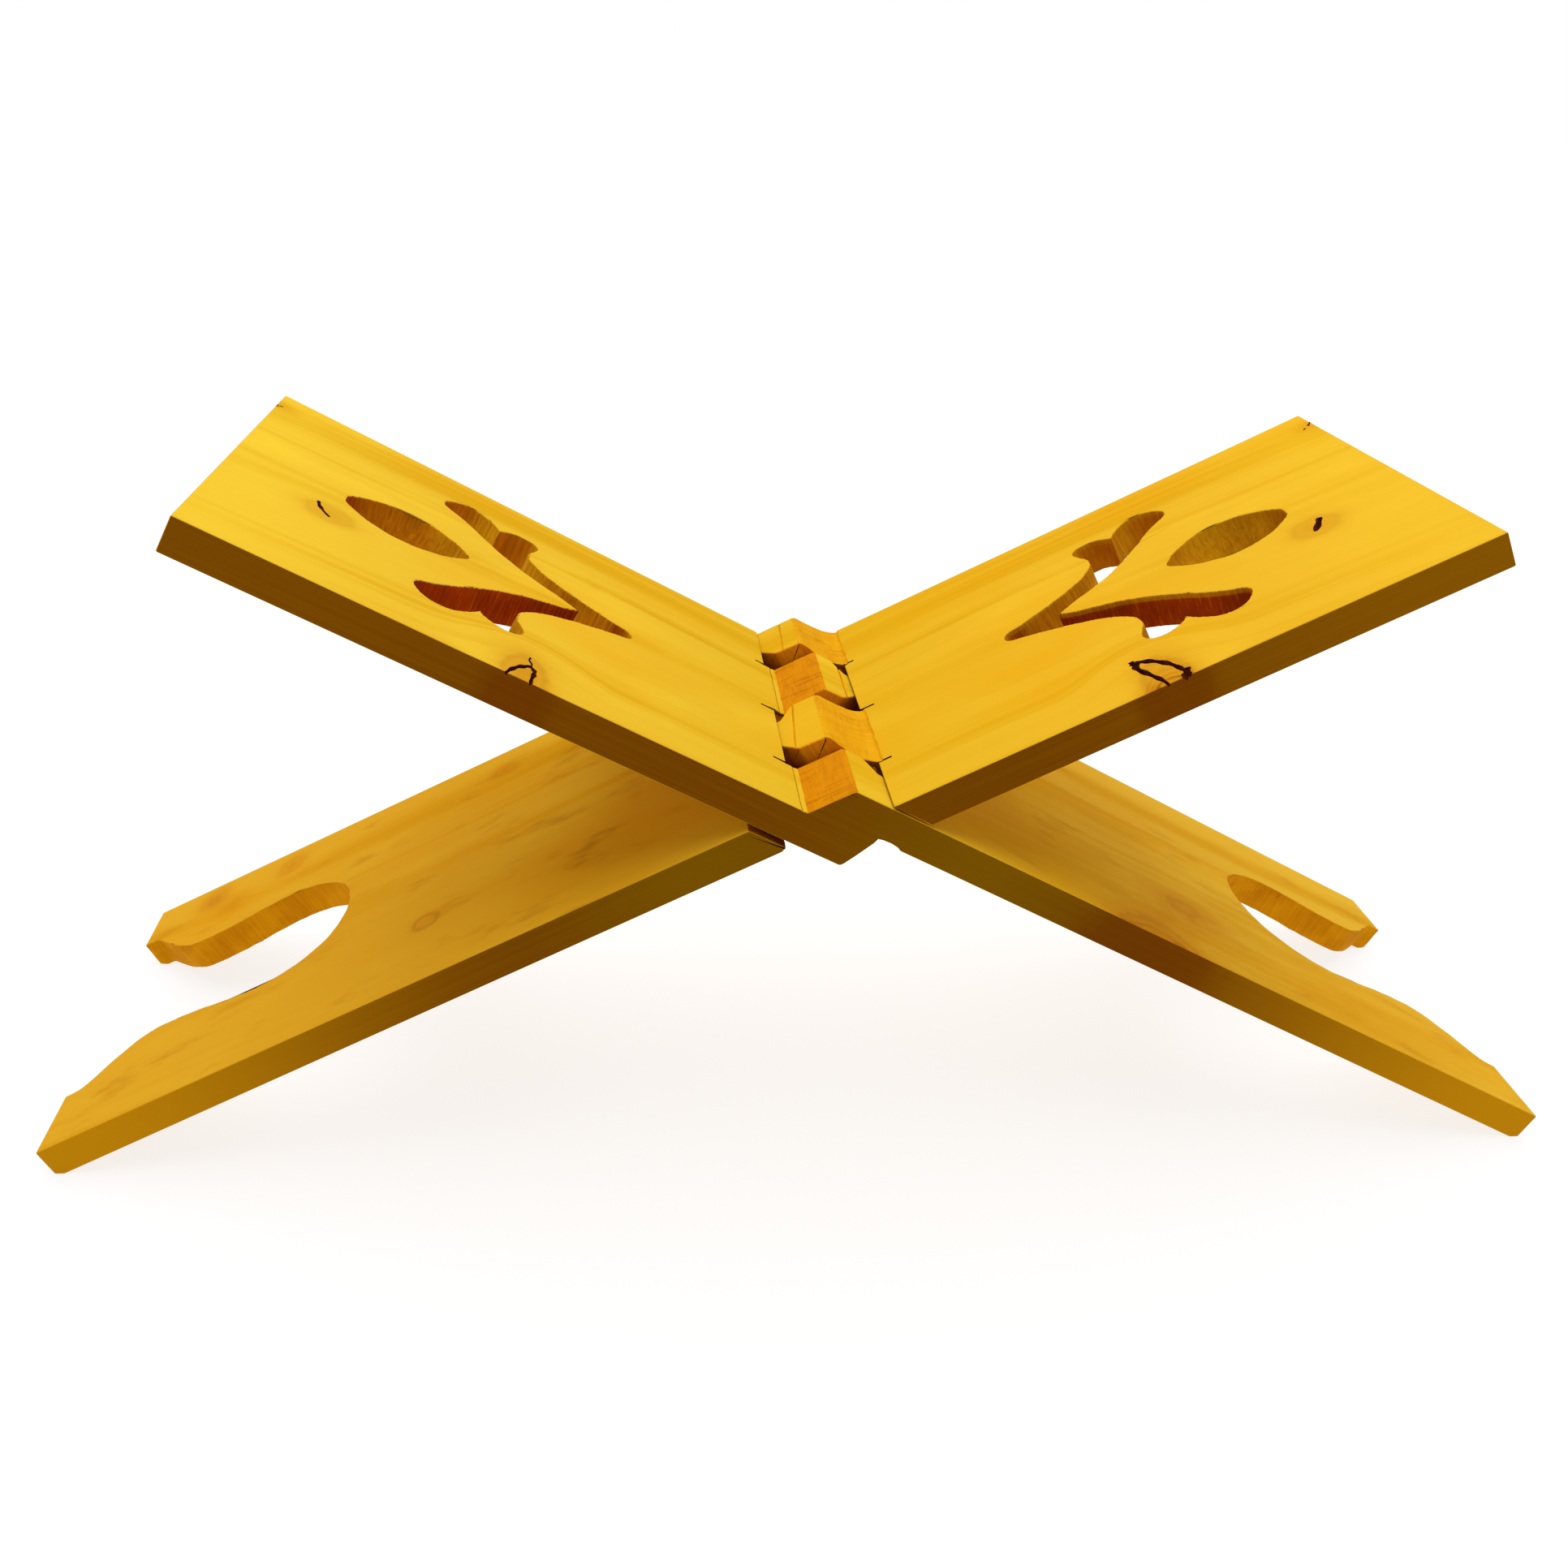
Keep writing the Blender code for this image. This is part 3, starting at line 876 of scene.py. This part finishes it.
    def make_cuts(self):
        """Takes every cutter out of the board."""
        together = bpy.data.collections.new("cutters")
        bpy.context.scene.collection.children.link(together)
        for cutter in self.cutters:
            together.objects.link(cutter)
        cuts = self.body.modifiers.new("cuts", "BOOLEAN")
        cuts.operation = "DIFFERENCE"
        cuts.solver = "EXACT"
        cuts.material_mode = "INDEX"
        cuts.operand_type = "COLLECTION"
        cuts.collection = together
        self.settle_modifiers()
        for cutter in self.cutters:
            bpy.data.objects.remove(cutter, do_unlink=True)
        bpy.data.collections.remove(together)

    def ease_edges(self):
        """Rounds the worn edges: the carved ones half as much, and those in kerfs not at all."""
        merged = 0.06 * MM
        foot_end = (LEG_LENGTH - 3.5) * MM
        least_turn, least_turn_at_foot = math.radians(38), math.radians(25)
        build = bmesh.new()
        build.from_mesh(self.body.data)
        bmesh.ops.remove_doubles(build, verts=build.verts, dist=merged)
        worn = build.edges.layers.float.new("bevel_weight_edge")
        for edge in build.edges:
            finishes = {face.material_index for face in edge.link_faces}
            at_foot = min(abs(vert.co.x) for vert in edge.verts) > foot_end
            turn = edge.calc_face_angle(0.0)
            if turn > (least_turn_at_foot if at_foot else least_turn) and KERF not in finishes:
                edge[worn] = 0.5 if CARVED in finishes else 1.0
        build.to_mesh(self.body.data)
        build.free()

        bevel = self.body.modifiers.new("eased_edges", "BEVEL")
        bevel.width = self.carving.edge_round
        bevel.segments = 3
        bevel.limit_method = "WEIGHT"
        bevel.use_clamp_overlap = False
        bevel.loop_slide = False
        self.settle_modifiers()

    def turn_into_place(self):
        """Turns the half down about the hinge and stands it on the floor."""
        mesh = self.body.data
        mesh.transform(Matrix.Translation(HINGE) @ Matrix.Rotation(self.facing * SLOPE, 4, "Y"))
        for vert in mesh.vertices:
            vert.co.z = max(vert.co.z, 0.0)
        mesh.shade_smooth()
        mesh.set_sharp_from_angle(angle=math.radians(50))
        weighted = self.body.modifiers.new("flat_faces", "WEIGHTED_NORMAL")
        weighted.keep_sharp = True

    def finish(self):
        """Makes the cuts, eases the edges and puts the half in its place."""
        self.make_cuts()
        self.ease_edges()
        self.turn_into_place()
        return self.body


def make_half(context, node, body_name, facing, checks):
    """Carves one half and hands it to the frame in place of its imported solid."""
    pine = context.scene.stand_pine
    side = "left" if facing > 0 else "right"
    materials = [pine_face(f"{side}_oiled_pine", facing, pine),
                 sawn_wall(f"{side}_sawn_wall", facing, pine),
                 carved_face(f"{side}_carved_end_grain", facing),
                 kerf_dark(f"{side}_kerf", facing, pine)]
    half = Half(f"{side}_leaf_half", facing, materials, context.scene.stand_carving)
    half.clear_other_zones()
    half.relieve_knuckles()
    half.chip_corners()
    half.saw_overcuts()
    half.scribe_lines()
    half.fretwork()
    half.drying_checks(checks)
    piece = half.finish()
    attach(piece, body_name)
    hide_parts(node)


class STAND_OT_left_leaf_half(bpy.types.Operator):
    """Carve the half whose leaf rises to the left"""
    bl_idname = "stand.left_leaf_half"
    bl_label = "Left Leaf Half"

    def execute(self, context):
        make_half(context, "left_leaf_right_leg", "left_leaf_half", 1, LEFT_CHECKS)
        return {"FINISHED"}


class STAND_OT_right_leaf_half(bpy.types.Operator):
    """Carve the half whose leaf rises to the right"""
    bl_idname = "stand.right_leaf_half"
    bl_label = "Right Leaf Half"

    def execute(self, context):
        make_half(context, "right_leaf_left_leg", "right_leaf_half", -1, RIGHT_CHECKS)
        return {"FINISHED"}


def aimed(location, target, roll=0.0):
    """A placement at location that looks at target, rolled about its own line of sight."""
    turn = (target - location).to_track_quat("-Z", "Y") @ Quaternion((0, 0, 1), roll)
    return Matrix.Translation(location) @ turn.to_matrix().to_4x4()


def lay_floor(studio):
    """The pale floor, which runs on far past the frame."""
    material = Graph(bpy.data.materials.new("pale_floor")).finish({
        "Base Color": studio.floor_colour, "Roughness": 0.9, "Emission Color": (1, 1, 1),
        "Emission Strength": studio.floor_glow})
    mesh = bpy.data.meshes.new("floor")
    reach = 6.0
    corners = [(-reach, -reach, 0), (reach, -reach, 0), (reach, reach, 0), (-reach, reach, 0)]
    mesh.from_pydata(corners, [], [(0, 1, 2, 3)])
    mesh.materials.append(material)
    floor = bpy.data.objects.new("floor", mesh)
    bpy.context.scene.collection.objects.link(floor)


def set_lights(studio):
    """A broad light overhead and an even sky that the camera sees as white."""
    lamp = bpy.data.lights.new("key", "SUN")
    lamp.energy = studio.key_strength
    lamp.angle = math.radians(90)
    key = bpy.data.objects.new("key", lamp)
    key.matrix_world = aimed(KEY_PLACE, Vector((0, 0, 0)))
    bpy.context.scene.collection.objects.link(key)

    sky = Graph(bpy.data.worlds.new("studio"), "Background")
    seen = sky.node("ShaderNodeLightPath", {}, {}, "Is Camera Ray")
    strength = sky.node("ShaderNodeMapRange", {}, {
        "Value": seen, "To Min": studio.sky_strength, "To Max": 1.0})
    bpy.context.scene.world = sky.finish({"Color": (1, 1, 1), "Strength": strength})
    bpy.context.scene.view_settings.view_transform = "Standard"


def place_camera(studio):
    """The camera, a little above the leaves and in front of them."""
    camera = bpy.data.cameras.new("camera")
    camera.sensor_width = 36.0
    camera.lens = studio.lens
    camera.shift_x, camera.shift_y = CAMERA_SHIFT
    camera.clip_start = 0.01
    holder = bpy.data.objects.new("camera", camera)
    holder.matrix_world = aimed(CAMERA_PLACE, CAMERA_TARGET, CAMERA_ROLL)
    bpy.context.scene.collection.objects.link(holder)
    bpy.context.scene.camera = holder


class STAND_OT_studio(bpy.types.Operator):
    """Lay the pale floor, set the soft lights and place the camera"""
    bl_idname = "stand.studio"
    bl_label = "Studio"

    def execute(self, context):
        studio = context.scene.stand_studio
        lay_floor(studio)
        set_lights(studio)
        place_camera(studio)
        return {"FINISHED"}


class STAND_PT_panel(bpy.types.Panel):
    """Lists the pieces of the stand, the studio and their settings"""
    bl_idname = "STAND_PT_panel"
    bl_label = "Book Stand"
    bl_space_type = "VIEW_3D"
    bl_region_type = "UI"
    bl_category = "Book Stand"

    def draw(self, context):
        column = self.layout.column()
        for operator in OPERATORS:
            column.operator(operator.bl_idname)
        for settings in (context.scene.stand_pine, context.scene.stand_carving, context.scene.stand_studio):
            for name in settings.__annotations__:
                column.prop(settings, name)


OPERATORS = (STAND_OT_left_leaf_half, STAND_OT_right_leaf_half, STAND_OT_studio)
CLASSES = (PineSettings, CarvingSettings, StudioSettings, *OPERATORS, STAND_PT_panel)


def register():
    for cls in CLASSES:
        bpy.utils.register_class(cls)
    bpy.types.Scene.stand_pine = bpy.props.PointerProperty(type=PineSettings)
    bpy.types.Scene.stand_carving = bpy.props.PointerProperty(type=CarvingSettings)
    bpy.types.Scene.stand_studio = bpy.props.PointerProperty(type=StudioSettings)


def unregister():
    del bpy.types.Scene.stand_studio
    del bpy.types.Scene.stand_carving
    del bpy.types.Scene.stand_pine
    for cls in reversed(CLASSES):
        bpy.utils.unregister_class(cls)


def main():
    register()
    bpy.ops.stand.left_leaf_half()
    bpy.ops.stand.right_leaf_half()
    bpy.ops.stand.studio()


if __name__ == "__main__":
    main()
